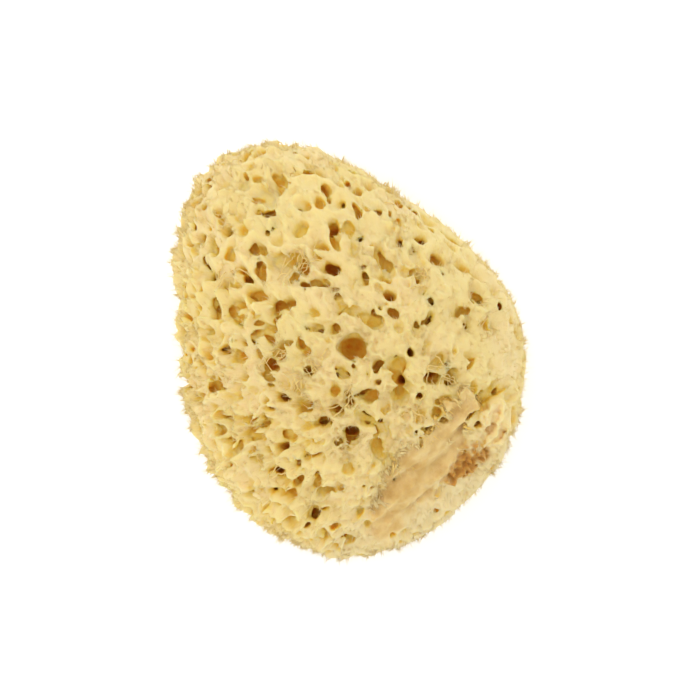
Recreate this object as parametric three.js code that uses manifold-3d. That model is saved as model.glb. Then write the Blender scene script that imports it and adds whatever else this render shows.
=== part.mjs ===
// A natural sea sponge: one grown body, lying on its flattened underside.
// Millimetres, +Z up. The origin is on the resting plane, below the middle of the outline.
// +Y is the long way of the sponge, and +X the way across it.
import * as THREE from "three";
import { mergeVertices } from "three/addons/utils/BufferGeometryUtils.js";
import Module from "manifold-3d";

// Driving dimensions
const LENGTH = 138;
const WIDTH = 116;
const HEIGHT = 86;
const EQUATOR_HEIGHT = 36; // where the body is widest
const UNDERSIDE_DEPTH = 45; // how far the rounded underside would reach below the equator if not flattened
const CROWN = new THREE.Vector2(-5, 4); // plan position of the highest point
const FULLNESS = 0.88; // under 1 makes the shoulders fuller than an ellipsoid's
const LOBE = 0.03; // swell of the broad lobes above and below the equator, as a share of the reach

// Resolution of the faceted body
const STEPS_ROUND = 56;
const STEPS_UP = 26;
const OSCULE_SIDES = 12;

// The oscules' axes all aim at this point inside the body, where the sponge grew from.
const GROWTH_POINT = new THREE.Vector3(8, -16, 12);

// The place where the sponge was cut from the rock: a flat face low on one shoulder.
const CUT_POINT = new THREE.Vector3(30, -38, 63);
const CUT_BEARING = -50; // degrees from +X, in plan
const CUT_TILT = 47; // degrees between the cut's normal and +Z

// The outline seen from above, anticlockwise: broad at one end, tapering to the other.
const OUTLINE = [
  [59, -6], [56, 15], [42, 34], [18, 52], [-10, 67], [-27, 69], [-46, 63], [-58, 42],
  [-59, 15], [-54, -24], [-38, -52], [-8, -69], [20, -65], [44, -47], [56, -28],
];

// Oscules of the upper side: plan position, radius at the mouth, depth.
const UPPER_OSCULES = [
  [1.5, 1, 3.9, 26],
  [16, -9, 2.9, 22],
  [27, -7, 2.7, 20],
  [-1, -27, 3.0, 22],
  [-21, -15, 2.8, 20],
  [-13, -6, 2.5, 20],
  [-25, -3, 2.3, 18],
  [-6, 27, 2.5, 20],
  [-15, 28, 2.7, 20],
  [-6, 40, 2.4, 18],
  [11, 17, 2.2, 18],
  [-36, -30, 2.2, 16],
];

// Oscules round the sides, evenly spaced but for the stretch that the cut takes up.
const SIDE_OSCULES = 12;
const SIDE_HEIGHTS = [30, 56, 42]; // they alternate between these
const SIDE_RADIUS = 2.4;
const SIDE_DEPTH = 16;
const CUT_STRETCH = 80; // degrees round the body, in plan

const wasm = await Module();
wasm.setup();

function geometryFrom(positions, indices) {
  return new THREE.BufferGeometry()
    .setAttribute("position", new THREE.Float32BufferAttribute(positions, 3))
    .setIndex(indices);
}

function solidFrom(geometry) {
  const bare = geometry.clone();
  bare.deleteAttribute("normal");
  bare.deleteAttribute("uv");
  const merged = mergeVertices(bare, 1e-3);
  return new wasm.Manifold(
    new wasm.Mesh({
      numProp: 3,
      vertProperties: merged.attributes.position.array,
      triVerts: new Uint32Array(merged.index.array),
    }),
  );
}

function geometryOf(solid) {
  const mesh = solid.getMesh();
  return geometryFrom(mesh.vertProperties, new THREE.Uint32BufferAttribute(mesh.triVerts, 1));
}

// Broad swellings and hollows round the body, which fade out at the equator.
function lobe(bearing, rise) {
  const broad = Math.sin(3 * bearing + 1.1 + rise);
  const narrow = 0.6 * Math.sin(7 * bearing - 4 * rise);
  return 1 + LOBE * (broad + narrow) * Math.abs(Math.sin(rise));
}

// One point of the body: share is the way round the outline, rise runs from -90 to 90 degrees.
function bodyPoint(outline, share, rise) {
  const rim = outline.getPoint(share);
  const bearing = 2 * Math.PI * share;
  const reach = Math.cos(rise) ** FULLNESS * lobe(bearing, rise);
  const x = CROWN.x + (rim.x - CROWN.x) * reach;
  const y = CROWN.y + (rim.y - CROWN.y) * reach;
  const depth = rise > 0 ? HEIGHT - EQUATOR_HEIGHT : UNDERSIDE_DEPTH;
  const z = EQUATOR_HEIGHT + depth * Math.sign(rise) * Math.abs(Math.sin(rise)) ** FULLNESS;
  return [x, y, Math.max(z, 0)];
}

function makeBody() {
  const corners = OUTLINE.map(([x, y]) => new THREE.Vector3(x, y, 0));
  const outline = new THREE.CatmullRomCurve3(corners, true, "centripetal");
  const positions = [];
  for (let up = 1; up < STEPS_UP; up += 1) {
    const rise = Math.PI * (up / STEPS_UP - 0.5);
    for (let round = 0; round < STEPS_ROUND; round += 1) {
      positions.push(...bodyPoint(outline, round / STEPS_ROUND, rise));
    }
  }
  const indices = [];
  const rings = STEPS_UP - 1;
  const at = (ring, round) => ring * STEPS_ROUND + (round % STEPS_ROUND);
  for (let ring = 0; ring < rings - 1; ring += 1) {
    for (let round = 0; round < STEPS_ROUND; round += 1) {
      indices.push(at(ring, round), at(ring, round + 1), at(ring + 1, round + 1));
      indices.push(at(ring, round), at(ring + 1, round + 1), at(ring + 1, round));
    }
  }
  const foot = rings * STEPS_ROUND;
  const top = foot + 1;
  positions.push(CROWN.x, CROWN.y, 0);
  positions.push(CROWN.x, CROWN.y, HEIGHT);
  for (let round = 0; round < STEPS_ROUND; round += 1) {
    indices.push(foot, at(0, round + 1), at(0, round));
    indices.push(top, at(rings - 1, round), at(rings - 1, round + 1));
  }
  return fitToSize(geometryFrom(positions, indices));
}

// Scales the body to its exact outer sizes, centred over the origin.
function fitToSize(geometry) {
  geometry.computeBoundingBox();
  const size = geometry.boundingBox.getSize(new THREE.Vector3());
  const middle = geometry.boundingBox.getCenter(new THREE.Vector3());
  geometry.translate(-middle.x, -middle.y, 0);
  return geometry.scale(WIDTH / size.x, LENGTH / size.y, HEIGHT / size.z);
}

// A block that lies wholly outside the cut plane.
function makeCutter() {
  const block = new THREE.Object3D();
  const bearing = THREE.MathUtils.degToRad(CUT_BEARING);
  const tilt = THREE.MathUtils.degToRad(CUT_TILT);
  const normal = new THREE.Vector3(
    Math.sin(tilt) * Math.cos(bearing),
    Math.sin(tilt) * Math.sin(bearing),
    Math.cos(tilt),
  );
  block.position.copy(CUT_POINT).addScaledVector(normal, LENGTH / 2);
  block.quaternion.setFromUnitVectors(new THREE.Vector3(0, 0, 1), normal);
  block.updateMatrix();
  return new THREE.BoxGeometry(LENGTH, LENGTH, LENGTH).applyMatrix4(block.matrix);
}

// A tapering passage with a rounded end, running from above its mouth down towards the growth point.
function makeOscule(mouth, radius, depth) {
  const above = 2 * radius;
  const profile = [
    new THREE.Vector2(0, -depth),
    new THREE.Vector2(0.45 * radius, -depth + 0.3 * radius),
    new THREE.Vector2(0.7 * radius, -depth + radius),
    new THREE.Vector2(0.9 * radius, -0.4 * depth),
    new THREE.Vector2(1.15 * radius, 0),
    new THREE.Vector2(1.5 * radius, above),
    new THREE.Vector2(0, above),
  ];
  const passage = new THREE.Object3D();
  const outward = mouth.clone().sub(GROWTH_POINT).normalize();
  passage.position.copy(mouth);
  passage.quaternion.setFromUnitVectors(new THREE.Vector3(0, 1, 0), outward);
  passage.updateMatrix();
  return new THREE.LatheGeometry(profile, OSCULE_SIDES).applyMatrix4(passage.matrix);
}

// Where a ray meets the outside of the body.
function surfacePoint(bodyGeometry, from, direction) {
  const target = new THREE.Mesh(bodyGeometry, new THREE.MeshBasicMaterial({ side: THREE.DoubleSide }));
  return new THREE.Raycaster(from, direction).intersectObject(target)[0].point;
}

function upperMouth(bodyGeometry, x, y) {
  const down = new THREE.Vector3(0, 0, -1);
  return surfacePoint(bodyGeometry, new THREE.Vector3(x, y, 2 * HEIGHT), down);
}

function sideMouth(bodyGeometry, count) {
  const stretch = (360 - CUT_STRETCH) / (SIDE_OSCULES - 1);
  const bearing = THREE.MathUtils.degToRad(CUT_BEARING + CUT_STRETCH / 2 + count * stretch);
  const height = SIDE_HEIGHTS[count % SIDE_HEIGHTS.length];
  const inward = new THREE.Vector3(-Math.cos(bearing), -Math.sin(bearing), 0);
  const from = inward.clone().multiplyScalar(-LENGTH).setZ(height);
  return surfacePoint(bodyGeometry, from, inward);
}

function makeSponge() {
  const bodyGeometry = makeBody();
  let solid = solidFrom(bodyGeometry).subtract(solidFrom(makeCutter()));
  for (const [x, y, radius, depth] of UPPER_OSCULES) {
    const mouth = upperMouth(bodyGeometry, x, y);
    solid = solid.subtract(solidFrom(makeOscule(mouth, radius, depth)));
  }
  for (let count = 0; count < SIDE_OSCULES; count += 1) {
    const mouth = sideMouth(bodyGeometry, count);
    solid = solid.subtract(solidFrom(makeOscule(mouth, SIDE_RADIUS, SIDE_DEPTH)));
  }
  const fibre = new THREE.MeshStandardMaterial({ color: 0xecd79c, roughness: 0.95, metalness: 0 });
  const mesh = new THREE.Mesh(geometryOf(solid), fibre);
  mesh.name = "sponge";
  return mesh;
}

const part = new THREE.Group();
part.add(makeSponge());

export default part;
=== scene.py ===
"""A natural sea sponge, lying on its flattened side and seen from straight above.

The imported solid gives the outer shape. The sponge's fabric is worked out on a grid of voxels round it: canals
and cells are hollowed out of the solid, tufts are raised on it, and the surface between is meshed.
Lengths are in millimetres until a mesh is made, and then in metres. +Z is up.
"""

import bmesh
import bpy
import numpy as np
from mathutils.kdtree import KDTree
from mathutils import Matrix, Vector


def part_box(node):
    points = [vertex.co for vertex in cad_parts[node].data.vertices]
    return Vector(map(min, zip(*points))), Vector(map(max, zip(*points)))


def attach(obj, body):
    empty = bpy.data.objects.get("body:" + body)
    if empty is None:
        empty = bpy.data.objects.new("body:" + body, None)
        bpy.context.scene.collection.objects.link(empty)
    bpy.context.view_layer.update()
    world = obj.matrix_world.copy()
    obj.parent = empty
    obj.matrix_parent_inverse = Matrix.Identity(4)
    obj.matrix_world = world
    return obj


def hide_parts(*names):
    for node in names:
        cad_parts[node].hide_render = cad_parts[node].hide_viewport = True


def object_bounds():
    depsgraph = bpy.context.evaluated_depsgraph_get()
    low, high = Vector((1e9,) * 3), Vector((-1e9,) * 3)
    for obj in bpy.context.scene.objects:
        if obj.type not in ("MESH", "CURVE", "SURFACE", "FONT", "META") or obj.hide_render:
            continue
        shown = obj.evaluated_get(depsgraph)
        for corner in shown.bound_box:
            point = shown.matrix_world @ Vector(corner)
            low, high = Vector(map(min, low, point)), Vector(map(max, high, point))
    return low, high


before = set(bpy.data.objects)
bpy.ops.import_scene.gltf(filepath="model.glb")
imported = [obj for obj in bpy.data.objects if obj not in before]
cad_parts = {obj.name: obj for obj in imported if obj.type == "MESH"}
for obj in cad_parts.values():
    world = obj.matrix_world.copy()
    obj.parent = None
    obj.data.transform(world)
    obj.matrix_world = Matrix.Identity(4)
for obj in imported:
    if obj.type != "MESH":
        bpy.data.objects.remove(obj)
cad_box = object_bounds()

MM = 0.001
DOWN = np.array([0, 0, -1.0])
SEED = 20

# ---- sizes
VOXEL = 0.5
MARGIN = 5.0  # room round the solid for tufts
PIECE_TRIANGLES = 190_000  # the most that one piece of the fabric's mesh holds
FABRIC_TRIANGLES = 560_000
SURFACE_DROP = 1.0  # how far the fabric's mean surface lies inside the solid's
SURFACE_REACH = 5.0  # tufts and frays are worked out this far to either side of the solid's surface
WEB_ROUNDING = 2.0  # how wide the rounding is where the wall of a canal meets the outside
COMBED_RADIUS = 55.0  # about how far the surface is from the growth point

# The point that the sponge grew from, as shares of the solid's box. Canals and tufts point away from it.
GROWTH_SHARE = np.array([0.64, 0.40, 0.50])

# Canals of the upper side, chosen one by one: x, y, radius at the mouth, depth. The deep ones look dark.
DEEP_CANALS = [
    (1.5, 1, 3.6, 16), (16, -9, 2.3, 15), (27, -7, 2.2, 12), (-1, -27, 2.6, 14), (-21, -15, 2.2, 13),
    (-13, -7, 1.5, 13), (-25, -3, 2.1, 12), (-6, 27, 2.0, 13), (-15, 28, 2.4, 9), (-6, 40, 2.0, 12),
    (11, 17, 1.7, 12), (-36, -30, 2.0, 10), (-24, -39, 1.5, 11), (18, 1, 1.2, 10), (9, -10, 1.2, 10),
    (0, -16, 1.5, 10), (9, -5, 1.8, 10), (-9, -23, 1.9, 8), (-22, -32, 1.8, 9), (10, -23, 1.2, 9),
]

# Golden hollows of the upper side: x, y, radius, depth.
HOLLOWS = [
    (-19, 15, 2.7, 5), (-24, 12, 2.4, 4), (-4, 16, 2.6, 4.5), (5, 11, 2.3, 5), (10, 24, 2.6, 4),
    (22, 25, 2.8, 5), (29, -1, 2.6, 4), (34, 14, 2.5, 4), (39, 0, 2.3, 3.5), (45, 9, 2.2, 3.5),
    (22, -19, 2.1, 4.5), (-6, -13, 2.4, 4), (-15, -17, 2.5, 5), (-14, -33, 2.1, 4), (-21, -42, 2.3, 4),
    (-40, -25, 2.6, 5), (-40, 39, 2.6, 4.5), (-18, 39, 2.4, 4), (-11, 47, 2.4, 4), (0, 33, 2.2, 3.5),
    (-5, 55, 2.4, 4), (-17, 58, 2.2, 4), (12, -25, 3.4, 2.6), (2, 45, 2.1, 5), (-36, 27, 2.4, 4),
    (-46, 8, 2.3, 4), (-44, -8, 2.4, 4), (-35, 10, 2.3, 4), (-30, 22, 2.4, 4), (-28, 33, 2.3, 4),
    (-33, -16, 2.3, 4), (-12, 8, 2.3, 3.5), (13, 9, 2.2, 3), (-28, -24, 2.2, 4), (-8, -44, 2.2, 4),
    (2, -38, 2.3, 4), (-31, 50, 2.3, 3.5), (26, 10, 1.9, 3), (16, 35, 2.0, 3.5),
]

# Seeded hollows all over: how many are tried, radius range, depth for each mm of radius, wall between them.
HOLLOW_SIZES = [
    (2400, 2.0, 3.2, 1.7, 0.5),
    (3600, 1.3, 2.0, 2.0, 0.5),
    (900, 0.9, 1.2, 2.2, 0.9),
]
DARK_SHARE = 0.025  # the share of seeded hollows that go deep
DARK_DEPTH = 2.4  # how much deeper these are
DARK_RADIUS = 0.85  # and how much narrower

# How far deep canals, golden hollows and seeded hollows are aimed straight down, and not at the growth point.
PLUMB = (2.0, 0.6, 0.0)

# Cells inside, which the canals open into: how many, radius range, depth range.
CELL_COUNT = 900
CELL_RADII = (1.3, 2.4)
CELL_DEPTHS = (4.0, 8.0)
CELL_SHAPE = np.array([1.5, 1.0, 0.8])

# What shows where the sponge was cut from its rock, in plan, as rows of joined circles: x, y, radius.
CUT_BAND = [(37, -17, 2.5), (31, -26, 5.2), (25, -34, 7.2), (18, -43, 7.8), (13, -51, 6.0), (10, -58, 3.5)]
CUT_FLAP = [(48, -18, 3.0), (46, -24, 5.0), (46, -30, 3.0)]
CUT_STAIN = [(44, -32, 2.0), (39, -36, 4.5), (33, -41, 2.5)]
CUT_CHANNEL = [(52, -9, 2.0), (47, -12, 2.8), (41, -16, 2.4), (37, -21, 1.8)]
CUT_CREVICES = [
    [(47, -19, 0.7), (45, -24, 1.0), (42, -30, 0.7)],
    [(50, -25, 0.5), (45, -31, 0.9), (39, -35, 0.6)],
]
CUT_SUNK = 2.3  # how far the bare band lies below the tufts round it

# Fibres
FIBRE_SIDES = 3
FIBRE_FLOOR = 0.05  # they stay this far above the resting plane
FUZZ_COUNT = 7_000
LYING_COUNT = 13_000
CLUMP_COUNT = 2_800
CLUMP_FIBRES = 5
CUT_TUFT_COUNT = 260
BRIDGE_COUNT = 25

# Places where loose fibres cross a canal's mouth: x, y, reach, how many.
BRIDGED = [(-16, 28, 4.5, 6), (27, -7, 3.5, 3), (-13, -6, 3.5, 4), (-25, -3, 3.0, 2), (22, 25, 4.0, 2),
           (21, -19, 3.0, 2), (0, -16, 3.0, 2), (-24, -39, 3.0, 2), (-38, 24, 5.0, 3)]


# ---- the grid
class Grid:
    """A block of evenly spaced points. values[i, j, k] is at low + step * (i, j, k)."""

    def __init__(self, low, high, step):
        self.low = np.asarray(low, float)
        self.step = step
        self.shape = tuple(np.ceil((np.asarray(high) - self.low) / step).astype(int) + 1)

    def axis(self, k):
        return self.low[k] + self.step * np.arange(self.shape[k])

    def points(self):
        mesh = np.meshgrid(*(self.axis(k) for k in range(3)), indexing="ij")
        return np.stack([m.ravel() for m in mesh], axis=1)

    def window(self, low, high):
        """The slices that cover a box, and the coordinates in it."""
        first = np.clip(np.floor((low - self.low) / self.step).astype(int), 0, self.shape)
        last = np.clip(np.ceil((high - self.low) / self.step).astype(int) + 1, 0, self.shape)
        slices = tuple(slice(a, b) for a, b in zip(first, last))
        lines = [self.low[k] + self.step * np.arange(first[k], last[k]) for k in range(3)]
        return slices, (lines[0][:, None, None], lines[1][None, :, None], lines[2][None, None, :])


def spline_weights(t):
    """The four weights of a smooth cubic, for a place t of the way between the two middle values."""
    return [
        (1 - t) ** 3 / 6,
        (3 * t**3 - 6 * t**2 + 4) / 6,
        (-3 * t**3 + 3 * t**2 + 3 * t + 1) / 6,
        t**3 / 6,
    ]


def resample(values, source, target):
    """A coarse grid's values, smoothly on a finer grid."""
    for k in range(3):
        place = (target.axis(k) - source.low[k]) / source.step
        base = np.floor(place).astype(int)
        weights = spline_weights((place - base).astype(np.float32))
        shape = [1, 1, 1]
        shape[k] = -1
        out = 0
        for n, weight in enumerate(weights):
            index = np.clip(base + n - 1, 0, values.shape[k] - 1)
            out = out + np.take(values, index, axis=k) * weight.reshape(shape)
        values = out
    return values.astype(np.float32)


def noise(grid, cell, rng):
    """Smooth noise on the grid, mostly between -1 and 1, with features about a cell across."""
    coarse = Grid(grid.low - 2 * cell, grid.low + grid.step * np.array(grid.shape) + 2 * cell, cell)
    values = rng.uniform(-2.2, 2.2, coarse.shape).astype(np.float32)
    return resample(values, coarse, grid)


def blur(values, reach):
    """Values averaged three times over a box reach voxels to each side."""
    width = 2 * reach + 1
    for _ in range(3):
        for k in range(3):
            pad = [(0, 0)] * 3
            pad[k] = (reach + 1, reach)
            total = np.cumsum(np.pad(values, pad, mode="edge"), axis=k, dtype=np.float32)
            upper = np.take(total, range(width, total.shape[k]), axis=k)
            lower = np.take(total, range(0, total.shape[k] - width), axis=k)
            values = (upper - lower) / width
    return values


def sample(values, grid, points, smooth=False):
    """The grid's values at free points, by linear interpolation, or with no creases if smooth."""
    place = (points - grid.low) / grid.step
    base = np.clip(np.floor(place).astype(int), 0, np.array(grid.shape) - 2)
    t = np.clip(place - base, 0, 1)
    if smooth:
        t = t * t * (3 - 2 * t)
    out = np.zeros(len(points))
    for corner in np.ndindex(2, 2, 2):
        weight = np.prod(np.where(corner, t, 1 - t), axis=1)
        index = base + corner
        out += weight * values[index[:, 0], index[:, 1], index[:, 2]]
    return out


# ---- the solid
class Hull:
    """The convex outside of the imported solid, as planes: a point p is inside where normals @ p < offsets."""

    def __init__(self, node):
        work = bmesh.new()
        for vertex in node.data.vertices:
            work.verts.new(vertex.co / MM)
        bmesh.ops.convex_hull(work, input=work.verts)
        bmesh.ops.delete(work, geom=[v for v in work.verts if not v.link_faces], context="VERTS")
        bmesh.ops.recalc_face_normals(work, faces=work.faces)
        corners = np.array([v.co for v in work.verts])
        triangles = np.array([[v.co for v in face.verts[:3]] for face in work.faces])
        work.free()
        cross = np.cross(triangles[:, 1] - triangles[:, 0], triangles[:, 2] - triangles[:, 0])
        areas = np.linalg.norm(cross, axis=1) / 2
        normals = cross / np.maximum(2 * areas, 1e-9)[:, None]
        offsets = (normals * triangles[:, 0]).sum(1)
        sound = (areas > 1e-4) & ((normals @ corners.T).max(1) - offsets < 0.1)
        self.triangles, self.areas = triangles[sound], areas[sound]
        self.normals, self.offsets = normals[sound], offsets[sound]

    def distance(self, points):
        """How far outside the hull each point is, in mm; inside it is negative."""
        out = np.empty(len(points))
        for start in range(0, len(points), 4000):
            some = points[start : start + 4000]
            out[start : start + 4000] = (some @ self.normals.T - self.offsets).max(1)
        return out

    def top(self, x, y):
        """The height of the upper side over a point of the plan."""
        up = self.normals[:, 2] > 0.05
        n = self.normals[up]
        return ((self.offsets[up] - n[:, 0] * x - n[:, 1] * y) / n[:, 2]).min()

    def scatter(self, count, rng):
        """Random points of the surface and its normals there."""
        pick = rng.choice(len(self.areas), count, p=self.areas / self.areas.sum())
        a, b = rng.random((2, count, 1))
        over = a + b > 1
        a, b = np.where(over, 1 - a, a), np.where(over, 1 - b, b)
        t = self.triangles[pick]
        return t[:, 0] + a * (t[:, 1] - t[:, 0]) + b * (t[:, 2] - t[:, 0]), self.normals[pick]


def unit(vectors):
    return vectors / np.linalg.norm(vectors, axis=-1, keepdims=True)


def combed_noise(points, growth_point, cell, stretch, rng):
    """Noise at free points whose features are a cell across and stretch out along the way of growth."""
    offset = points - growth_point
    radius = np.linalg.norm(offset, axis=1, keepdims=True)
    drawn_in = COMBED_RADIUS + (radius - COMBED_RADIUS) / stretch
    drawn_in = growth_point + offset / np.maximum(radius, 1) * drawn_in
    lattice = Grid(drawn_in.min(0) - cell, drawn_in.max(0) + cell, cell)
    values = rng.uniform(-1, 1, lattice.shape).astype(np.float32)
    return sample(values, lattice, drawn_in, smooth=True)


def lying_noise(points, growth_point, cell, stretch, rng):
    """Noise at free points whose features stretch out sideways, away from the axis over the growth point."""
    offset = points - growth_point
    radius = np.linalg.norm(offset * [1, 1, 0.35], axis=1, keepdims=True)
    plain = 28.0  # within this radius there is no stretch
    share = np.where(radius < plain, 1, (plain + (radius - plain) / stretch) / np.maximum(radius, 1))
    drawn_in = offset * share
    lattice = Grid(drawn_in.min(0) - cell, drawn_in.max(0) + cell, cell)
    values = rng.uniform(-1.4, 1.4, lattice.shape).astype(np.float32)
    return sample(values, lattice, drawn_in, smooth=True)


# ---- canals and cells
def calmness(points):
    """1 where the sponge is velvety, with few shallow pores: its right side and the rim under its cut. Its
    far end is a little so, and the rest is 0."""
    x, y = points[:, 0], points[:, 1]
    right = smooth_step(18, 36, x + 0.25 * y)
    far_end = 0.35 * smooth_step(40, 58, y)
    rim = smooth_step(44, 54, 0.64 * x - 0.77 * y)
    return np.maximum(np.maximum(right, far_end), rim)


def fadedness(points):
    """1 on the rim under the cut, where the sponge is palest. 0 elsewhere."""
    return smooth_step(38, 54, 0.5 * points[:, 0] - 0.86 * points[:, 1])


def lay_out_canals(hull, rng):
    """Mouths, radii, depths and how far each is aimed straight down: first the listed canals and hollows, and
    then smaller and smaller ones between them."""
    chosen = DEEP_CANALS + HOLLOWS
    mouths = [np.array([x, y, hull.top(x, y)]) for x, y, _, _ in chosen]
    radii = [r for _, _, r, _ in chosen]
    depths = [d for _, _, _, d in chosen]
    plumb = [PLUMB[0]] * len(DEEP_CANALS) + [PLUMB[1]] * len(HOLLOWS)
    for tries, small, large, deepness, wall in HOLLOW_SIZES:
        points, _ = hull.scatter(tries, rng)
        sizes = rng.uniform(small, large, tries)
        calm = calmness(points)
        left = smooth_step(-5, -35, points[:, 0])
        walls = wall * rng.uniform(0.5, 1.5, tries) * (1 + 2.8 * calm - 0.6 * left)
        slopes = deepness * rng.uniform(0.6, 1.4, tries) * (1 - 0.45 * calm + 0.2 * left)
        for point, radius, least, slope, still in zip(points, sizes, walls, slopes, calm):
            gaps = np.linalg.norm(np.array(mouths) - point, axis=1) - np.array(radii) - radius
            if gaps.min() > least:
                dark = rng.random() < DARK_SHARE * (1 - still)
                mouths.append(point)
                radii.append(radius * (DARK_RADIUS if dark else 1.0))
                depths.append(radius * slope * (DARK_DEPTH if dark else 1.0))
                plumb.append(PLUMB[2])
    return np.array(mouths), np.array(radii), np.array(depths), np.array(plumb)


def dot(a, b):
    return a[0] * b[0] + a[1] * b[1] + a[2] * b[2]


def carve_canal(cavity, grid, warp, mouth, inward, radius, depth, bend, lengthwise, stretched, flare):
    """Adds one canal to the cavity field, which is positive in open space. It bends off its axis with depth,
    flares at its mouth and is stretched along one direction."""
    reach = radius * (1 + flare) / (1 - stretched) ** 0.5 + 2.0
    end = mouth + inward * depth
    slices, axes = grid.window(np.minimum(mouth, end) - reach, np.maximum(mouth, end) + reach)
    place = [axes[k] + warp[k][slices] - mouth[k] for k in range(3)]
    along = dot(place, inward)
    share = np.clip(along / depth, 0, 1)
    place = [place[k] - along * inward[k] - bend[k] * share**2 for k in range(3)]
    length = dot(place, lengthwise)
    across = np.sqrt(np.maximum(dot(place, place) - stretched * length * length, 0))
    opening = 1 + flare * np.exp(-np.maximum(along + 0.5, 0) / (0.7 * radius))
    wall = radius * opening * (1 - 0.35 * share)
    beyond = np.maximum(along - depth, 0)
    open_by = wall - np.sqrt(across**2 + beyond**2)
    np.maximum(cavity[slices], open_by, out=cavity[slices])


def carve_cell(cavity, grid, warp, centre, radii, turn):
    """Adds one rounded cell to the cavity field."""
    reach = radii.max() + 1.5
    slices, (x, y, z) = grid.window(centre - reach, centre + reach)
    offset = np.stack(np.broadcast_arrays(
        x + warp[0][slices] - centre[0], y + warp[1][slices] - centre[1], z + warp[2][slices] - centre[2]))
    local = np.tensordot(turn, offset, axes=1) / radii[:, None, None, None]
    open_by = radii.mean() * (1 - np.sqrt((local**2).sum(0)))
    np.maximum(cavity[slices], open_by, out=cavity[slices])


def soft_max(a, b, width):
    """The larger of two fields, rounded over where they are nearly equal."""
    gap = np.maximum(width - np.abs(a - b), 0) / width
    return np.maximum(a, b) + gap * gap * width / 4


# ---- meshing
CORNERS = np.array(list(np.ndindex(2, 2, 2)))
CELL_EDGES = [(a, b) for a in range(8) for b in range(a + 1, 8) if np.abs(CORNERS[a] - CORNERS[b]).sum() == 1]


def surface_net(field, grid):
    """Vertices and triangles of the surface where the field is zero. It is negative in the solid."""
    inside = field < 0
    shape = np.array(field.shape)
    views = [tuple(slice(c[k], shape[k] - 1 + c[k]) for k in range(3)) for c in CORNERS]
    count = sum(inside[v].astype(np.int8) for v in views)
    cells = np.argwhere((count > 0) & (count < 8))
    index = np.full(shape - 1, -1, np.int32)
    index[tuple(cells.T)] = np.arange(len(cells))
    values = np.stack([field[v][tuple(cells.T)] for v in views], axis=1)
    total = np.zeros((len(cells), 3))
    hits = np.zeros(len(cells))
    for a, b in CELL_EDGES:
        crossed = (values[:, a] < 0) != (values[:, b] < 0)
        gap = np.where(crossed, values[:, a] - values[:, b], 1)
        t = np.where(crossed, values[:, a] / gap, 0)[:, None]
        total += crossed[:, None] * (CORNERS[a] + t * (CORNERS[b] - CORNERS[a]))
        hits += crossed
    vertices = grid.low + grid.step * (cells + total / hits[:, None])
    faces = []
    for k in range(3):
        at = np.argwhere(np.diff(inside, axis=k))
        others = [(k + 1) % 3, (k + 2) % 3]
        one, two = np.eye(3, dtype=int)[others]
        at = at[((at[:, others] > 0) & (at[:, others] < shape[others] - 1)).all(1)]
        ring = [at - one - two, at - two, at, at - one]
        quads = np.stack([index[tuple(r.T)] for r in ring], axis=1)
        leaving = inside[tuple(at.T)]
        quads[~leaving] = quads[~leaving][:, ::-1]
        faces.append(quads)
    quads = np.concatenate(faces)
    one = np.linalg.norm(vertices[quads[:, 0]] - vertices[quads[:, 2]], axis=1)
    two = np.linalg.norm(vertices[quads[:, 1]] - vertices[quads[:, 3]], axis=1)
    # Each is cut in two along its shorter diagonal.
    turned = np.where((one > two)[:, None], np.roll(quads, 1, axis=1), quads)
    return vertices, np.concatenate([turned[:, [0, 1, 2]], turned[:, [0, 2, 3]]])


def largest_island(vertices, faces):
    """Drops the loose crumbs and sealed bubbles, and keeps the one big surface."""
    label = np.arange(len(vertices))
    links = np.concatenate([faces[:, [0, 1]], faces[:, [1, 2]]])
    while True:
        lowest = np.minimum(label[links[:, 0]], label[links[:, 1]])
        new = label.copy()
        for end in links.T:
            np.minimum.at(new, end, lowest)
            np.minimum.at(new, label[end], lowest)
        new = new[new]
        if (new == label).all():
            break
        label = new
    biggest = np.bincount(label).argmax()
    kept = label == biggest
    number = np.cumsum(kept) - 1
    return vertices[kept], number[faces[kept[faces[:, 0]]]]


def build_mesh(name, vertices, faces):
    """A Blender mesh object from arrays in millimetres."""
    mesh = bpy.data.meshes.new(name)
    sides = faces.shape[1]
    mesh.vertices.add(len(vertices))
    mesh.vertices.foreach_set("co", (vertices * MM).astype(np.float32).ravel())
    mesh.loops.add(faces.size)
    mesh.loops.foreach_set("vertex_index", faces.astype(np.int32).ravel())
    mesh.polygons.add(len(faces))
    mesh.polygons.foreach_set("loop_start", np.arange(0, faces.size, sides, dtype=np.int32))
    mesh.polygons.foreach_set("use_smooth", np.ones(len(faces), bool))
    mesh.update(calc_edges=True)
    piece = bpy.data.objects.new(name, mesh)
    bpy.context.scene.collection.objects.link(piece)
    return piece


# ---- the place of the cut
class Cut:
    """Where the sponge was cut from the rock: the solid's largest flat face but for its underside."""

    def __init__(self, hull):
        aside = hull.normals[:, 2] > -0.5
        alike = (hull.normals @ hull.normals.T > 0.9995) & aside[None, :] & aside[:, None]
        shared = alike @ hull.areas
        members = alike[shared.argmax()]
        self.normal = hull.normals[members][0]
        self.offset = hull.offsets[members][0]
        self.centre = np.average(hull.triangles[members].mean(1), axis=0, weights=hull.areas[members])
        self.across = unit(np.cross([0, 0, 1.0], self.normal))  # level, along the patch
        self.down = np.cross(self.normal, self.across) * -1  # down the slope of the patch

    def height(self, points):
        """How far outside the cut's plane each point is."""
        return points @ self.normal - self.offset

    def places(self, points):
        """Where each point is along and down the patch, from its middle."""
        offset = points - self.centre
        return offset @ self.across, offset @ self.down


def smooth_step(low, high, x):
    t = np.clip((x - low) / (high - low), 0, 1)
    return t * t * (3 - 2 * t)


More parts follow.
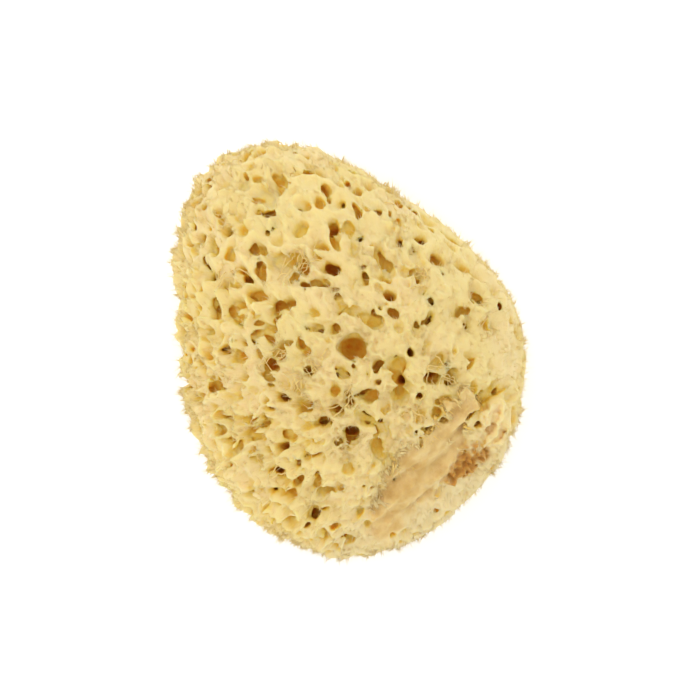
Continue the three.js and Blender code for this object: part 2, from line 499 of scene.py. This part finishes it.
def chain_distance(x, y, chain):
    """How far outside a row of joined circles each point of the plan is; inside it is negative."""
    least = np.full(np.shape(x), np.inf)
    for (x0, y0, r0), (x1, y1, r1) in zip(chain, chain[1:]):
        dx, dy = x1 - x0, y1 - y0
        t = np.clip(((x - x0) * dx + (y - y0) * dy) / (dx * dx + dy * dy), 0, 1)
        least = np.minimum(least, np.hypot(x - x0 - t * dx, y - y0 - t * dy) - (r0 + t * (r1 - r0)))
    return least


def flat_noise(u, v, cell, rng):
    """Smooth noise over two coordinates, between -1 and 1."""
    places = np.stack([u, v, np.zeros(len(u))], axis=1)
    lattice = Grid(places.min(0) - 2 * cell, places.max(0) + 2 * cell, cell)
    return sample(rng.uniform(-1.6, 1.6, lattice.shape), lattice, places, smooth=True)


def cut_shares(cut, points, rng):
    """How much of each point belongs to the bare band, the crumpled flap and the stained hollow."""
    along, down = cut.places(points)
    x, y = points[:, 0], points[:, 1]
    near = smooth_step(-6.0, -4.0, cut.height(points))
    ragged = flat_noise(along, down * 0.5, 3.6, rng) * 2.0 + flat_noise(along, down * 0.4, 1.2, rng) * 1.0
    fingers = np.maximum(flat_noise(along, down * 0.12, 2.3, rng), 0) ** 1.5 * 3.0
    fingers *= smooth_step(0.0, -8.0, down)
    soft = 0.5 + 2.5 * smooth_step(-2, 6, down)  # the band's lower edge fades into the rim
    band = smooth_step(soft, -soft, chain_distance(x, y, CUT_BAND) + ragged + fingers) * near
    flap = smooth_step(0.8, -0.8, chain_distance(x, y, CUT_FLAP) + 0.7 * ragged) * near * (1 - band)
    stain = smooth_step(1.0, -1.0, chain_distance(x, y, CUT_STAIN) + 0.8 * ragged) * near
    return band, flap, stain * (1 - band) * (1 - flap)


def cut_surfaces(cut, points, rng):
    """The band with its soft folds, the crumpled flap and the stained hollow, as heights above the cut."""
    along, down = cut.places(points)
    x, y = points[:, 0], points[:, 1]
    folds = flat_noise(along * 0.35, down, 4.5, rng) * 1.3 + flat_noise(along * 0.6, down, 1.6, rng) * 0.3
    band = -CUT_SUNK + 1.1 * smooth_step(-4, 9, down) + folds
    crumple = 1 - 2 * np.abs(flat_noise(along * 1.1 + down * 0.4, down * 0.9, 3.6, rng))
    flap = 0.5 + 0.9 * crumple + flat_noise(along, down, 1.3, rng) * 0.6
    for crevice in CUT_CREVICES:
        aside = chain_distance(x, y, crevice) + flat_noise(along, down, 1.5, rng) * 0.4
        flap -= 1.6 * smooth_step(1.0, -0.4, aside)
    stain = -1.5 + flat_noise(along, down, 1.6, rng) * 1.3 + flat_noise(along, down, 0.9, rng) * 0.8
    return band, flap, stain


# ---- the fabric
def hollow_out(grid, envelope, hull, growth_point, rng):
    """The canals, cells and small pits as a field, which is positive in open space."""
    warp = [noise(grid, 5.5, rng) * 1.7 + noise(grid, 2.4, rng) * 0.6 for _ in range(3)]
    cavity = np.full(grid.shape, -3.0, np.float32)
    for mouth, radius, depth, plumb in zip(*lay_out_canals(hull, rng)):
        slant = 0.16 if depth > 8 else 0.42
        inward = unit(unit(growth_point - mouth) + plumb * DOWN + rng.normal(0, slant, 3))
        bend = rng.normal(0, 0.16, 3) * depth * 0.6
        sideways = (mouth - growth_point) * [1, 1, 0]
        far = min(np.linalg.norm(sideways) / 45, 1.0)
        stretched = rng.uniform(0.45, 0.85) * far  # off to the side, canals are drawn out along growth
        flare = rng.uniform(0.2, 0.7)
        size = radius * (1.15 - 0.2 * far)
        carve_canal(cavity, grid, warp, mouth, inward, size, depth, bend, unit(sideways), stretched, flare)

    for point in hull.scatter(CELL_COUNT, rng)[0]:
        centre = point + unit(growth_point - point) * rng.uniform(*CELL_DEPTHS)
        cell_radii = rng.uniform(*CELL_RADII) * CELL_SHAPE
        turn, _ = np.linalg.qr(rng.normal(0, 1, (3, 3)))
        carve_cell(cavity, grid, warp, centre, cell_radii, turn)

    pits = (noise(grid, 2.3, rng) - 0.72) * 1.3 - np.maximum(-envelope - 1.5, 0)
    return soft_max(cavity, pits, 0.8)


def comb(points, growth_point, rng):
    """How far tufts and ridges raise the outside at each point, and how far they grow into its hollows. They
    run away from the growth point. They are highest on the left, and low where the sponge is velvety."""
    left = smooth_step(0, -35, points[:, 0])
    near_left = smooth_step(5, -40, points[:, 0] + 0.5 * points[:, 1])
    wild = 0.8 + 0.55 * near_left - 0.45 * calmness(points)
    broad = combed_noise(points, growth_point, 8.0, 2.0, rng) * 1.1
    tufts = combed_noise(points, growth_point, 2.8, 7.0, rng)
    fray = combed_noise(points, growth_point, 1.3, 7.0, rng)
    fins = 1 - 2 * np.abs(lying_noise(points, growth_point, 2.1, 5.0, rng))
    raised = broad + wild * (0.8 * tufts + 0.45 * fray + (0.6 + 0.6 * left) * fins)
    return raised, wild * (0.4 * fray + 0.4 * fins)


def shape_cut(field, grid, envelope, places, cut, rng):
    """Works the groove, band, flap and stain of the cut into the fabric's field, at the grid's places near
    the surface. Returns the shares of the last three as fields."""
    shares = [np.zeros(grid.shape, np.float32) for _ in range(3)]
    points = grid.low + grid.step * places
    by_cut = cut.height(points) > -7
    at = tuple(places[by_cut].T)
    points = points[by_cut]
    level = cut.height(points)
    channel = smooth_step(0.8, -1.6, chain_distance(points[:, 0], points[:, 1], CUT_CHANNEL))
    field[at] = np.maximum(field[at], envelope[at] + 5.0 - 8 * (1 - channel))
    heights = cut_surfaces(cut, points, rng)
    for share, value, height in zip(shares, cut_shares(cut, points, rng), heights):
        share[at] = value
        field[at] = field[at] * (1 - value) + (level - height) * value
    return shares


def make_fabric(hull, cut, growth_point, rng):
    """The sponge's body as fields on a grid: the fabric, which is negative in the solid, how far outside the
    hull each point is, and the shares of the cut's band, flap and stain."""
    low, high = (np.array(corner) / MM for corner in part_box("sponge"))
    grid = Grid(low - MARGIN, high + MARGIN, VOXEL)
    coarse = Grid(low - MARGIN - 6, high + MARGIN + 6, 3.0)
    outside = hull.distance(coarse.points()).reshape(coarse.shape)
    envelope = resample(outside.astype(np.float32), coarse, grid)
    cavity = hollow_out(grid, envelope, hull, growth_point, rng)

    near = np.abs(envelope) < SURFACE_REACH
    places = np.argwhere(near)
    raised, grown_in = comb(grid.low + grid.step * places, growth_point, rng)
    outer = envelope + SURFACE_DROP
    outer[near] -= raised
    cavity[near] -= grown_in
    field = soft_max(outer, cavity, WEB_ROUNDING) + noise(grid, 1.6, rng) * 0.12
    shares = shape_cut(field, grid, envelope, places, cut, rng)

    resting = -grid.axis(2)[None, None, :].astype(np.float32)
    field = np.maximum(field, np.broadcast_to(resting, field.shape))
    return field, grid, envelope, shares


def simplified(vertices, faces, triangles):
    """A surface cut down to a number of triangles: its vertices, faces and vertex normals."""
    piece = build_mesh("whole", vertices, faces)
    modifier = piece.modifiers.new("simplify", "DECIMATE")
    modifier.ratio = min(1.0, triangles / len(faces))
    depsgraph = bpy.context.evaluated_depsgraph_get()
    simple = bpy.data.meshes.new_from_object(piece.evaluated_get(depsgraph))
    arrays = arrays_of(simple)
    whole = piece.data
    bpy.data.objects.remove(piece)
    bpy.data.meshes.remove(whole)
    bpy.data.meshes.remove(simple)
    return arrays


def share_out(points, faces, depth, rng):
    """The faces in lots of at most PIECE_TRIANGLES. The deepest faces are the first lot, so that their seam
    is out of sight in the canals. The rest is divided by height, along a wavering line round the sides."""
    lots = -(-len(faces) // PIECE_TRIANGLES)
    middles = points[faces].mean(1)
    by_depth = np.argsort(-depth[faces].mean(1), kind="stable")
    inner, skin = np.split(by_depth, [len(faces) // lots])
    if lots == 1:
        return [by_depth]
    x, y, z = middles[skin].T
    waver = flat_noise(x, y, 9.0, rng) * 3 + flat_noise(x, y, 2.5, rng)
    by_height = skin[np.argsort(z + waver, kind="stable")]
    return [inner, *np.array_split(by_height, lots - 1)]


def keep_normals(mesh, normals):
    """Gives a mesh's vertices the normals that it is shaded with."""
    kept = mesh.attributes.new("custom_normal", "FLOAT_VECTOR", "POINT")
    kept.data.foreach_set("vector", normals.astype(np.float32).ravel())


def split_mesh(name, points, faces, normals, lots, attributes):
    """One surface as a mesh object for each lot of its faces, with the whole surface's normals kept."""
    pieces = []
    for number, lot in enumerate(lots, start=1):
        used, corners = np.unique(faces[lot], return_inverse=True)
        piece = build_mesh(f"{name}_{number}", points[used], corners.reshape(-1, 3))
        keep_normals(piece.data, normals[used])
        for key, values in attributes.items():
            add_attribute(piece.data, key, values[used])
        pieces.append(piece)
    return pieces


def arrays_of(mesh):
    """A triangle mesh's vertices in millimetres, its faces and its vertex normals."""
    vertices = np.empty(len(mesh.vertices) * 3, np.float32)
    mesh.vertices.foreach_get("co", vertices)
    normals = np.empty(len(mesh.vertices) * 3, np.float32)
    mesh.vertices.foreach_get("normal", normals)
    faces = np.empty(len(mesh.loops), np.int32)
    mesh.loops.foreach_get("vertex_index", faces)
    return vertices.reshape(-1, 3) / MM, faces.reshape(-1, 3), normals.reshape(-1, 3)


def openness(points, normals, field, grid):
    """How much of the space over each point of the surface is clear of fabric for about 8 mm, from 0 to 1. It
    looks from just off the surface in evenly spread directions, in steps."""
    solid = field < 0
    directions = 26
    lift, stride, longest = 0.5, 0.9, 9.0
    turns = np.arange(directions) * np.pi * (3 - 5**0.5)
    heights = np.linspace(-0.96, 0.96, directions)
    flat = np.sqrt(1 - heights**2)
    clear, total = np.zeros(len(points)), np.full(len(points), 1e-6)
    for direction in np.stack([flat * np.cos(turns), flat * np.sin(turns), heights], axis=1):
        weight = np.maximum(normals @ direction, 0)
        some = np.flatnonzero(weight > 0.05)
        free = np.ones(len(some), bool)
        for reach in np.arange(stride, longest, stride):
            at = points[some] + lift * normals[some] + reach * direction - grid.low
            at = np.clip((at / grid.step + 0.5).astype(int), 0, np.array(grid.shape) - 1)
            free &= ~solid[at[:, 0], at[:, 1], at[:, 2]]
        clear[some] += weight[some] * free
        total[some] += weight[some]
    return clear / total


def add_attribute(mesh, name, values):
    attribute = mesh.attributes.new(name, "FLOAT", "POINT")
    attribute.data.foreach_set("value", np.asarray(values, np.float32))


# ---- fibres
def side_axes(directions):
    """Two directions for each unit direction, square to it and to each other."""
    helper = np.where(np.abs(directions[:, 2:3]) > 0.9, [[1.0, 0, 0]], [[0, 0, 1.0]])
    side = unit(np.cross(directions, helper))
    return side, np.cross(directions, side)


def ring(middles, radii, axes):
    """The corners of one ring round every fibre."""
    corners = []
    for turn in range(FIBRE_SIDES):
        angle = 2 * np.pi * turn / FIBRE_SIDES
        corners.append(middles + radii[:, None] * (np.cos(angle) * axes[0] + np.sin(angle) * axes[1]))
    return corners


def tube_faces(rings):
    """The triangles between the rings of one fibre."""
    faces = []
    for step in range(rings - 1):
        for turn in range(FIBRE_SIDES):
            a = step * FIBRE_SIDES + turn
            b = step * FIBRE_SIDES + (turn + 1) % FIBRE_SIDES
            faces += [(a, b, b + FIBRE_SIDES), (a, b + FIBRE_SIDES, a + FIBRE_SIDES)]
    return faces


def joined(corners, faces):
    """All the fibres as arrays of vertices and triangles, from their corners and one fibre's triangles."""
    vertices = np.stack(corners, axis=1)
    count, stride = vertices.shape[:2]
    all_faces = np.array(faces)[None] + (np.arange(count) * stride)[:, None, None]
    return vertices.reshape(-1, 3), all_faces.reshape(-1, 3)


def spikes(roots, directions, lengths, widths, droop, segments=2):
    """Tapering fibres that bend with a droop, as arrays of vertices and triangles."""
    axes = side_axes(directions)
    corners = []
    for step in range(segments):
        t = step / segments
        middles = roots + directions * (lengths * t)[:, None] + droop * (lengths * t * t)[:, None]
        corners += ring(middles, widths * (1 - t) ** 0.75, axes)
    corners.append(roots + directions * lengths[:, None] + droop * lengths[:, None])
    tip, last = segments * FIBRE_SIDES, (segments - 1) * FIBRE_SIDES
    end = [(last + turn, last + (turn + 1) % FIBRE_SIDES, tip) for turn in range(FIBRE_SIDES)]
    return joined(corners, tube_faces(segments) + end)


def strands(starts, ends, sag, waves, widths, segments=9):
    """Thin curly fibres held at both ends, as arrays of vertices and triangles."""
    axes = side_axes(unit(ends - starts))
    corners = []
    for step in range(segments + 1):
        t = step / segments
        middles = starts * (1 - t) + ends * t + sag * (4 * t * (1 - t))
        for turns, wave in enumerate(waves, start=2):
            middles = middles + wave * np.sin(np.pi * turns * t)
        corners += ring(middles, widths, axes)
    last = segments * FIBRE_SIDES
    caps = [(2, 1, 0), (last, last + 1, last + 2)]
    return joined(corners, tube_faces(segments + 1) + caps)


def fibre_piece(name, vertices, faces, shade_warmth):
    """A mesh of fibres that all have the same number of vertices, with how golden each is painted, from 0 to 1.
    The gold is painted shade, for fibres rooted in hollows or crossing them.
    """
    vertices[:, 2] = np.maximum(vertices[:, 2], FIBRE_FLOOR)
    piece = build_mesh(name, vertices, faces)
    add_attribute(piece.data, "faded", fadedness(vertices))
    add_attribute(piece.data, "shade_warmth", np.repeat(shade_warmth, len(vertices) // len(shade_warmth)))
    return piece


def pick_roots(weights, count, rng):
    chance = weights / weights.sum()
    return rng.choice(len(weights), min(count, int((weights > 0).sum())), replace=False, p=chance)


def grow_fuzz(name, skin, count, lengths, widths, spread, rng):
    """A joined mesh of short single fibres on the outer parts of the fabric."""
    pick = pick_roots(skin.outer, count, rng)
    directions = unit(skin.outward[pick] + 0.7 * skin.normals[pick] + rng.normal(0, spread, (len(pick), 3)))
    size = rng.uniform(*lengths, len(pick))
    bend = rng.normal(0, 0.4, (len(pick), 3))
    thick = rng.uniform(*widths, len(pick))
    roots = skin.points[pick] - directions * 0.3
    vertices, faces = spikes(roots, directions, size, thick, bend)
    return fibre_piece(name, vertices, faces, skin.shade_warmth[pick])


def grow_lying(name, skin, count, rng):
    """A joined mesh of longer fibres that lie on the webs, combed away from the growth point."""
    pick = pick_roots(skin.outer, count, rng)
    normals, outward = skin.normals[pick], skin.outward[pick]
    along = outward - normals * (outward * normals).sum(1)[:, None] + rng.normal(0, 0.28, (len(pick), 3))
    directions = unit(unit(along) + normals * rng.uniform(0.05, 0.4, (len(pick), 1)))
    size = rng.uniform(1.4, 3.2, len(pick))
    bend = rng.normal(0, 0.25, (len(pick), 3)) - 0.1 * normals
    roots = skin.points[pick] - normals * 0.1
    vertices, faces = spikes(roots, directions, size, rng.uniform(0.1, 0.17, len(pick)), bend, segments=3)
    return fibre_piece(name, vertices, faces, skin.shade_warmth[pick])


def grow_clumps(name, skin, weights, heading, reaches, widths, count, rng):
    """A joined mesh of small pointed tufts, each of a few fibres that lean the same way."""
    pick = np.repeat(pick_roots(weights, count, rng), CLUMP_FIBRES)
    first = np.arange(0, len(pick), CLUMP_FIBRES)
    lean = np.repeat(rng.normal(0, 0.35, (len(first), 3)), CLUMP_FIBRES, axis=0)
    least, most = reaches
    reach = np.repeat(least + (most - least) * rng.random(len(first)) ** 2.5, CLUMP_FIBRES)
    reach *= rng.uniform(0.6, 1.0, len(pick))
    axis = unit(heading[pick] + lean)
    roots = skin.points[pick] - axis * 0.5 + rng.normal(0, 0.38, (len(pick), 3))
    tips = skin.points[pick] + axis * reach[:, None] + rng.normal(0, 0.42, (len(pick), 3))
    bend = rng.normal(0, 0.12, (len(pick), 3))
    lengths = np.linalg.norm(tips - roots, axis=1)
    vertices, faces = spikes(roots, unit(tips - roots), lengths, rng.uniform(*widths, len(pick)), bend)
    return fibre_piece(name, vertices, faces, skin.shade_warmth[pick])


def find_bridges(skin, field, grid, starts, rng):
    """For each start vertex, another outer vertex a few mm off across open space, where there is one."""
    tree = KDTree(len(skin.points))
    outer = np.flatnonzero(skin.outer > 0)
    for index in outer:
        tree.insert(skin.points[index], index)
    tree.balance()
    pairs = []
    for start in starts:
        near = [index for _, index, gap in tree.find_range(skin.points[start], 6.5) if gap > 2.4]
        if not near:
            continue
        ends = rng.choice(near, min(len(near), 12), replace=False)
        shares = np.array([0.2, 0.35, 0.5, 0.65, 0.8])[None, :, None]
        line = skin.points[start] * (1 - shares) + skin.points[ends][:, None] * shares
        open_by = sample(field, grid, line.reshape(-1, 3)).reshape(len(ends), -1).min(1)
        if open_by.max() > 0.12:
            pairs.append((start, ends[open_by.argmax()]))
    return np.array(pairs)


def grow_bridges(name, skin, field, grid, rng):
    """A joined mesh of thin loose fibres across the mouths of canals, at chosen places and anywhere."""
    starts = [pick_roots(skin.outer * (skin.peaks < 0.5), BRIDGE_COUNT * 3, rng)]
    for x, y, reach, count in BRIDGED:
        at = np.hypot(skin.points[:, 0] - x, skin.points[:, 1] - y) < reach
        weights = skin.outer * at * (skin.points[:, 2] > 30)
        starts.append(pick_roots(weights, count * 3, rng))
    pairs = find_bridges(skin, field, grid, np.concatenate(starts), rng)
    one, two = skin.points[pairs[:, 0]], skin.points[pairs[:, 1]]
    sag = rng.normal(0, 0.4, (len(pairs), 3)) + 0.9 * skin.outward[pairs[:, 0]]
    waves = rng.normal(0, 0.28, (3, len(pairs), 3))
    vertices, faces = strands(one, two, sag, waves, rng.uniform(0.15, 0.24, len(pairs)))
    # Painted shade: the bridges are all partly golden, as they cross shaded canal mouths.
    return fibre_piece(name, vertices, faces, np.full(len(pairs), 0.4))


# ---- materials
class Nodes:
    """Short names for making a material's node tree."""

    def __init__(self, name):
        self.material = bpy.data.materials.new(name)
        self.material.use_nodes = True
        self.tree = self.material.node_tree
        self.shader = self.tree.nodes["Principled BSDF"]

    def add(self, kind, inputs=(), **settings):
        node = self.tree.nodes.new(kind)
        for key, value in settings.items():
            setattr(node, key, value)
        for socket, value in dict(inputs).items():
            self.set(node.inputs[socket], value)
        return node

    def set(self, socket, value):
        if isinstance(value, bpy.types.NodeSocket):
            self.tree.links.new(value, socket)
        else:
            socket.default_value = value

    def surface(self, inputs):
        for name, value in inputs.items():
            self.set(self.shader.inputs[name], value)

    def attribute(self, name):
        return self.add("ShaderNodeAttribute", attribute_name=name).outputs["Fac"]

    def combed(self, growth_point, stretch):
        """Places drawn in towards the growth point, so that a texture on them streaks along growth."""
        place = self.add("ShaderNodeTexCoord").outputs["Object"]
        offset = self.vector("SUBTRACT", {0: place, 1: tuple(growth_point * MM)})
        radius = self.vector("LENGTH", {0: offset}, "Value")
        drawn_in = self.sums(radius, 1 / stretch, COMBED_RADIUS * MM * (1 - 1 / stretch))
        return self.vector("SCALE", {0: offset, "Scale": self.maths("DIVIDE", drawn_in, radius)})

    def noise(self, size, detail=2.0, place=None):
        """Noise with features about size millimetres across, in object space unless places are given."""
        place = place or self.add("ShaderNodeTexCoord").outputs["Object"]
        node = self.add("ShaderNodeTexNoise", {"Vector": place, "Scale": 1 / (size * MM), "Detail": detail})
        return node.outputs["Fac"]

    def maths(self, operation, *values):
        return self.add("ShaderNodeMath", enumerate(values), operation=operation).outputs["Value"]

    def vector(self, operation, inputs, output="Vector"):
        return self.add("ShaderNodeVectorMath", inputs, operation=operation).outputs[output]

    def sums(self, value, scale, shift):
        """The value times a scale, plus a shift. Each may be a number or a node's output."""
        return self.maths("MULTIPLY_ADD", value, scale, shift)

    def mix(self, share, a, b):
        node = self.add("ShaderNodeMix", data_type="RGBA")
        self.set(node.inputs["Factor"], share)
        self.set(node.inputs["A"], a)
        self.set(node.inputs["B"], b)
        return node.outputs["Result"]

    def ramp(self, value, stops):
        node = self.add("ShaderNodeValToRGB", {"Fac": value})
        ramp = node.color_ramp
        while len(ramp.elements) < len(stops):
            ramp.elements.new(0.5)
        for element, (place, colour) in zip(ramp.elements, stops):
            element.position = place
            element.color = colour
        return node.outputs["Color"]


def linear(red, green, blue):
    """A colour given as 0 to 255 screen values, as Blender's linear values."""
    parts = np.array([red, green, blue]) / 255
    return (*np.where(parts < 0.04045, parts / 12.92, ((parts + 0.055) / 1.055) ** 2.4), 1.0)


# The fabric's colours. CREAM is the open webs; STRAW, GOLD, BROWN and DARK are painted shade, deeper and deeper
# in the hollows. The golden fibre colour is painted shade on fibres in hollows, and CREVICE is painted shade in
# the flap's creases and the stain's hollows.
CREAM = linear(240, 218, 151)
PINKISH = linear(241, 216, 163)
STRAW = linear(238, 213, 128)
GOLD = linear(238, 206, 96)
BROWN = linear(238, 188, 68)
DARK = linear(230, 148, 44)
FIBRE_PALE = linear(243, 223, 156)
FIBRE_PINK = linear(241, 213, 148)
FIBRE_SHADED_GOLD = linear(252, 216, 118)
TAN = linear(232, 202, 138)
TAN_DARK = linear(212, 174, 106)
CREAM_TAN = linear(240, 216, 156)
CREVICE = linear(180, 124, 58)
STAIN = linear(196, 144, 70)
RIM = linear(231, 211, 158)


def fabric_material(growth_point):
    n = Nodes("fibre_fabric")
    combed = n.combed(growth_point, 6.0)
    streaks = n.noise(0.9, 3.0, combed)
    # Painted shade: the ramp runs from cream on the open webs through straw and gold to brown where the
    # attribute says a point is hidden in a hollow, with random streaks and mottling.
    hollow_shade = n.sums(n.noise(4.0), 0.14, n.sums(streaks, 0.22, n.sums(n.attribute("hollow_shade"), 1.0, -0.18)))
    deep = n.ramp(hollow_shade, [(0.04, CREAM), (0.18, STRAW), (0.38, GOLD), (0.72, BROWN), (1.0, DARK)])
    pink = n.ramp(n.noise(22.0, 1.0), [(0.42, (0, 0, 0, 1)), (0.62, (1, 1, 1, 1))])
    shallow = n.ramp(n.attribute("hollow_shade"), [(0.0, (0.5, 0.5, 0.5, 1)), (0.25, (0, 0, 0, 1))])
    colour = n.mix(n.maths("MULTIPLY", pink, shallow), deep, PINKISH)
    faded = n.maths("MULTIPLY", n.attribute("faded"), shallow)
    colour = n.mix(n.sums(faded, 1.4, 0.0), colour, RIM)
    mottle = n.ramp(n.noise(5.0, 4.0), [(0.35, TAN_DARK), (0.62, TAN)])
    colour = n.mix(n.attribute("band"), colour, mottle)
    # Painted shade on the flap: cream-tan on its open folds, tan and then crevice brown where its creases are
    # hidden.
    crumpled = n.ramp(n.attribute("hollow_shade"), [(0.16, CREAM_TAN), (0.3, TAN), (0.55, CREVICE)])
    colour = n.mix(n.attribute("flap"), colour, crumpled)
    # The stain is the cut's own colour; within it, random specks and painted shade darken it towards crevice
    # brown where it is hidden.
    specks_and_shade = n.sums(n.noise(1.4, 4.0), 0.9, n.sums(n.attribute("hollow_shade"), 1.0, -0.45))
    stained = n.ramp(specks_and_shade, [(0.0, STAIN), (0.5, CREVICE)])
    colour = n.mix(n.attribute("stain"), colour, stained)
    n.surface({"Base Color": colour, "Roughness": 0.95, "Specular IOR Level": 0.1})
    spread = (1.0, 0.85, 0.45)  # of red, green and blue light in the fabric
    n.surface({"Subsurface Weight": 0.7, "Subsurface Radius": spread, "Subsurface Scale": 2.4 * MM})
    felt = n.sums(n.noise(0.45, 3.0, combed), 1.0, n.noise(1.1, 2.0, combed))
    bump = n.add("ShaderNodeBump", {"Height": felt, "Strength": 0.7, "Distance": 0.35 * MM})
    n.surface({"Normal": bump.outputs["Normal"]})
    return n.material


def fibre_material():
    n = Nodes("fibre_hair")
    # Painted shade: fibres are mixed towards gold by how shaded their roots are.
    colour = n.mix(n.attribute("shade_warmth"), n.mix(n.noise(4.0), FIBRE_PALE, FIBRE_PINK), FIBRE_SHADED_GOLD)
    colour = n.mix(n.sums(n.attribute("faded"), 0.8, 0.0), colour, RIM)
    n.surface({"Base Color": colour, "Roughness": 0.9, "Specular IOR Level": 0.1})
    return n.material


# ---- camera, light, floor (in metres)
CAMERA_DISTANCE = 0.9  # from where the sponge is widest
VIEW_WIDTH = 0.231  # what the picture spans there
EQUATOR_SHARE = 0.42  # the height of the widest place, as a share of the sponge's
FLOOR_REACH = 3.0


def make_camera():
    """Straight above, at the distance and width of view of a product picture."""
    low, high = (np.array(corner) for corner in cad_box)
    equator = low[2] + EQUATOR_SHARE * (high[2] - low[2])
    data = bpy.data.cameras.new("camera")
    data.sensor_width = 36.0
    data.lens = data.sensor_width * CAMERA_DISTANCE / VIEW_WIDTH
    camera = bpy.data.objects.new("camera", data)
    camera.location = ((low[0] + high[0]) / 2, (low[1] + high[1]) / 2, equator + CAMERA_DISTANCE)
    bpy.context.scene.collection.objects.link(camera)
    bpy.context.scene.camera = camera


def make_light():
    """An even white surround and a large soft lamp, a little to the upper left."""
    scene = bpy.context.scene
    scene.view_settings.view_transform = "Standard"
    world = bpy.data.worlds.new("studio")
    world.use_nodes = True
    background = world.node_tree.nodes["Background"].inputs
    background["Color"].default_value = (1, 1, 1, 1)
    background["Strength"].default_value = 0.94
    scene.world = world
    data = bpy.data.lights.new("key", "AREA")
    data.shape = "DISK"
    data.size = 0.7
    data.energy = 1.25
    lamp = bpy.data.objects.new("key", data)
    lamp.location = (-0.2, 0.12, 0.9)
    lamp.rotation_euler = (-lamp.location).to_track_quat("-Z", "Y").to_euler()
    scene.collection.objects.link(lamp)


def make_floor():
    """A white ground that glows a little, like a light table."""
    mesh = bpy.data.meshes.new("floor")
    corners = [(x * FLOOR_REACH, y * FLOOR_REACH, 0) for x, y in ((-1, -1), (1, -1), (1, 1), (-1, 1))]
    mesh.from_pydata(corners, [], [(0, 1, 2, 3)])
    floor = bpy.data.objects.new("floor", mesh)
    bpy.context.scene.collection.objects.link(floor)
    n = Nodes("floor_white")
    n.surface({"Base Color": (0.93, 0.93, 0.93, 1), "Roughness": 0.9})
    n.surface({"Emission Color": (1, 1, 1, 1), "Emission Strength": 0.3})
    floor.data.materials.append(n.material)


# ---- the whole sponge
def finish_piece(piece, material):
    piece.data.materials.clear()
    piece.data.materials.append(material)
    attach(piece, "root")
    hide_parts("sponge")


class Skin:
    """The fabric's vertices, with what the fibres need to know about each."""

    def __init__(self, points, normals, growth_point, hollow_shade, crowded, bare):
        self.points, self.normals = points, normals
        self.outward = unit(points - growth_point)
        facing = (self.outward * normals).sum(1)
        self.outer = np.clip(0.22 - hollow_shade, 0, 0.18) * (1 - bare) ** 2 * smooth_step(-0.2, 0.5, facing)
        self.peaks = smooth_step(0.5, 0.36, crowded)
        # Painted shade: fibres rooted in hidden places are coloured more golden.
        self.shade_warmth = smooth_step(0.0, 0.3, hollow_shade)


def painted_hollow_shade(points, normals, field, grid, depth, band):
    """The painted shade of each point, as a place on the ramp of colours: from 0 on the open webs to 1 deep in
    the canals, by how hidden and how deep it is.
    """
    hidden = 1 - openness(points, normals, field, grid)
    hollow_shade = 0.92 * np.maximum(hidden - 0.08, 0) ** 1.5 + 0.016 * np.maximum(depth - 2.0, 0)
    return np.clip(hollow_shade, 0, 1) * (1 - 0.7 * band)


def grow_fibres(skin, cut, band, field, grid, rng):
    """The separate fibres, as one piece of each kind."""
    hair = fibre_material()
    finish_piece(grow_fuzz("sponge_fuzz", skin, FUZZ_COUNT, (0.8, 2.0), (0.05, 0.09), 0.5, rng), hair)
    finish_piece(grow_lying("sponge_lying_fibres", skin, LYING_COUNT, rng), hair)
    patches = smooth_step(-0.3, 0.5, sample(noise(grid, 6.0, rng), grid, skin.points))
    peaks = skin.outer * skin.peaks * patches
    away = unit(skin.outward + 0.35 * skin.normals)
    tufts = grow_clumps("sponge_tufts", skin, peaks, away, (0.6, 3.4), (0.1, 0.18), CLUMP_COUNT, rng)
    finish_piece(tufts, hair)
    upper_edge = (band > 0.03) * (band < 0.5) * smooth_step(0.0, -5.0, cut.places(skin.points)[1])
    over = unit(cut.down + 0.35 * cut.normal)[None] + 0.0 * skin.points
    reaches, widths = (1.5, 5.5), (0.3, 0.5)
    tips = grow_clumps("sponge_cut_tufts", skin, upper_edge, over, reaches, widths, CUT_TUFT_COUNT, rng)
    finish_piece(tips, hair)
    finish_piece(grow_bridges("sponge_bridges", skin, field, grid, rng), hair)


def make_sponge():
    rng = np.random.default_rng(SEED)
    hull = Hull(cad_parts["sponge"])
    cut = Cut(hull)
    low, high = (np.array(corner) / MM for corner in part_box("sponge"))
    growth_point = low + GROWTH_SHARE * (high - low)
    field, grid, envelope, shares = make_fabric(hull, cut, growth_point, rng)
    crowding = blur((field < 0).astype(np.float32), round(1.5 / VOXEL))
    points, faces, normals = simplified(*largest_island(*surface_net(field, grid)), FABRIC_TRIANGLES)

    depth = -sample(envelope, grid, points)
    crowded = sample(crowding, grid, points)
    band, flap, stain = (sample(share, grid, points) for share in shares)
    # Painted shade for the hollows, from how hidden and how deep each point is.
    hollow_shade = painted_hollow_shade(points, normals, field, grid, depth, band)
    attributes = {"hollow_shade": hollow_shade, "band": band, "flap": flap, "stain": stain, "faded": fadedness(points)}
    fabric = fabric_material(growth_point)
    lots = share_out(points, faces, depth, rng)
    for piece in split_mesh("sponge_fabric", points, faces, normals, lots, attributes):
        finish_piece(piece, fabric)

    bare = np.clip(band + 0.85 * stain + 0.6 * flap, 0, 1)
    skin = Skin(points, normals, growth_point, hollow_shade, crowded, bare)
    grow_fibres(skin, cut, band, field, grid, rng)


make_sponge()
make_camera()
make_light()
make_floor()
